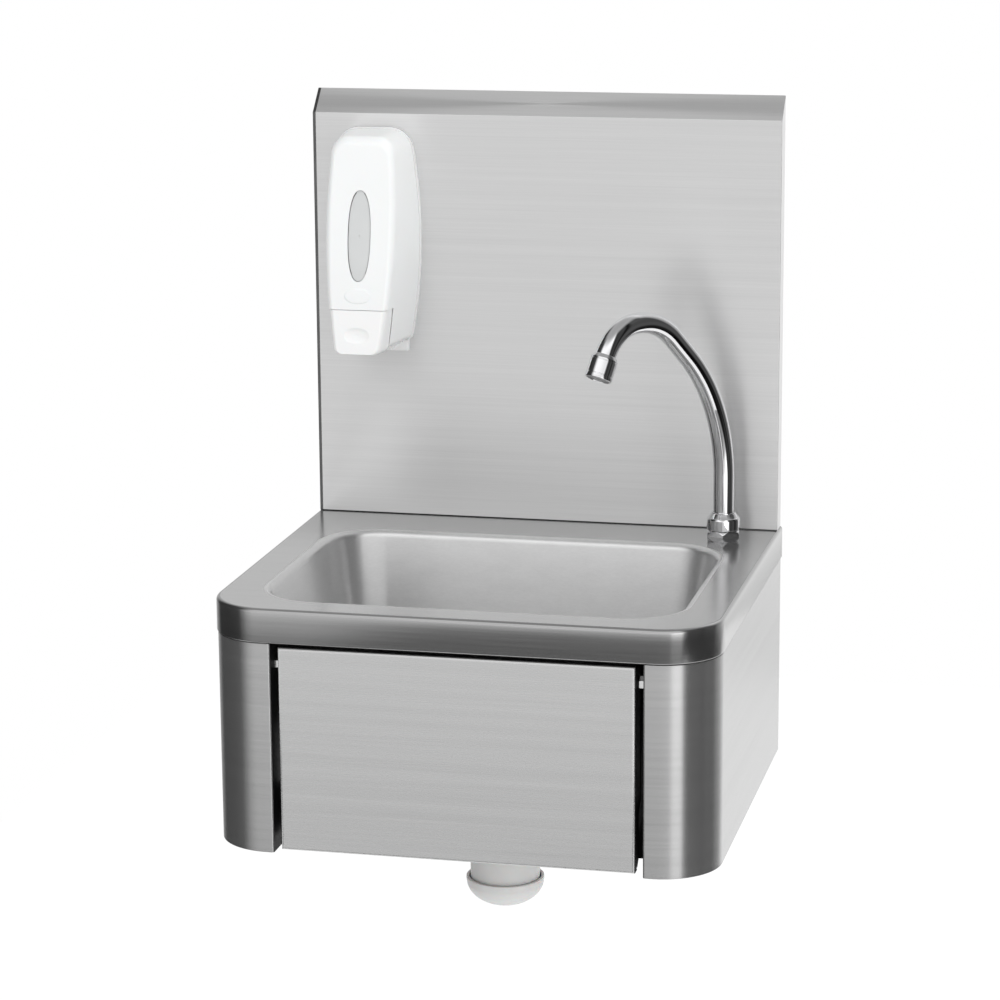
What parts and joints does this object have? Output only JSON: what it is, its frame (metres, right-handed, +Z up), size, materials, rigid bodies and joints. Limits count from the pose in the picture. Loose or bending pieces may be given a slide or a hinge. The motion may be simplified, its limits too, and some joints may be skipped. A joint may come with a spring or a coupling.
{
  "type": "hand basin",
  "caption": "Wall-hung steel hand basin with a knee-pushed front panel, a high splashback, a swivel spout and a lever soap dispenser.",
  "frame": {"origin": "centre of the wall screw holes on the wall plane", "axes": "+X to the right, +Y into the wall, +Z up"},
  "size_m": [0.4, 0.35, 0.648],
  "materials": {
    "sheet_steel": "brushed stainless sheet",
    "polished_steel": "polished stainless steel",
    "chrome": "bright chrome plating",
    "brass": "plain machined brass",
    "copper_pipe": "chromed copper pipe",
    "zinc_steel": "bright zinc plated steel",
    "trap_plastic": "white polypropylene",
    "black_rubber": "black sealing rubber",
    "grey_plastic": "grey moulded plastic",
    "white_gloss": "glossy white moulded plastic",
    "window_plastic": "smoky translucent plastic",
    "white_plastic": "white moulded plastic",
    "bottle_plastic": "milky blown plastic"
  },
  "bodies": {
    "basin": {"deck": "sheet_steel", "bowl": "sheet_steel", "splashback": "sheet_steel", "left_side": "sheet_steel", "right_side": "sheet_steel", "valve_rail": "sheet_steel", "strainer_seal": "black_rubber", "strainer": "polished_steel", "waste_seal": "black_rubber", "waste_body": "trap_plastic", "waste_screw": "polished_steel", "tail_pipe": "trap_plastic", "waste_nut": "trap_plastic", "inlet_nut": "trap_plastic", "trap_body": "trap_plastic", "trap_cup_seal": "black_rubber", "trap_cup": "trap_plastic", "outlet_nut": "trap_plastic", "outlet_pipe": "trap_plastic", "tap_body": "chrome", "tap_washer": "black_rubber", "tap_locknut": "brass", "cap_nut": "chrome", "pivot_bolts": "polished_steel", "pivot_nuts": "polished_steel", "valve_body": "brass", "valve_locknut": "brass", "valve_spring": "zinc_steel", "mixing_tee": "brass", "mixing_screws": "zinc_steel", "riser_pipe": "copper_pipe", "riser_nuts": "brass", "soap_plate": "white_gloss", "soap_screws": "zinc_steel", "soap_nuts": "zinc_steel", "soap_bottle": "bottle_plastic", "bottle_cap": "white_plastic", "pump_body": "white_plastic", "pump_spring": "zinc_steel", "soap_nozzle": "white_plastic"},
    "spout": {"spout": "chrome", "spout_ring": "black_rubber", "aerator": "chrome", "aerator_insert": "grey_plastic"},
    "knee_panel": {"knee_panel": "sheet_steel"},
    "valve_button": {"valve_button": "grey_plastic"},
    "soap_cover": {"soap_cover": "white_gloss", "soap_window": "window_plastic"},
    "soap_lever": {"soap_lever": "white_gloss"},
    "pump_piston": {"pump_piston": "white_plastic"}
  },
  "joints": [
    {"name": "knee_panel_hinge", "type": "hinge", "parent": "basin", "child": "knee_panel", "pos_m": [0, -0.335, 0.059], "axis": [1, 0, 0], "range_deg": [0, 4.5], "stiffness_Nm_per_rad": 12, "springref_deg": -2.86},
    {"name": "valve_button_slide", "type": "slide", "parent": "basin", "child": "valve_button", "axis": [0, 1, 0], "range_m": [0, 0.0105], "stiffness_N_per_m": 300, "springref_m": -0.004, "deforming": ["valve_spring"]},
    {"name": "spout_swivel", "type": "hinge", "parent": "basin", "child": "spout", "pos_m": [0.159, -0.058, 0.105], "axis": [0, 0, 1], "range_deg": [-62, 122]},
    {"name": "soap_cover_hinge", "type": "hinge", "parent": "basin", "child": "soap_cover", "pos_m": [-0.144, -0.03, 0.2625], "axis": [1, 0, 0], "range_deg": [0, 70]},
    {"name": "soap_lever_hinge", "type": "hinge", "parent": "soap_cover", "child": "soap_lever", "pos_m": [-0.144, -0.066, 0.287], "axis": [1, 0, 0], "range_deg": [0, 8], "stiffness_Nm_per_rad": 0.55, "springref_deg": -5.73},
    {"name": "pump_piston_slide", "type": "slide", "parent": "basin", "child": "pump_piston", "axis": [0, 1, 0], "range_m": [0, 0.0032], "deforming": ["pump_spring"]}
  ],
  "couplings": [
    {"joint": "valve_button_slide", "follows": "knee_panel_hinge", "m_per_rad": 0.133},
    {"joint": "pump_piston_slide", "follows": "soap_lever_hinge", "m_per_rad": 0.022}
  ]
}
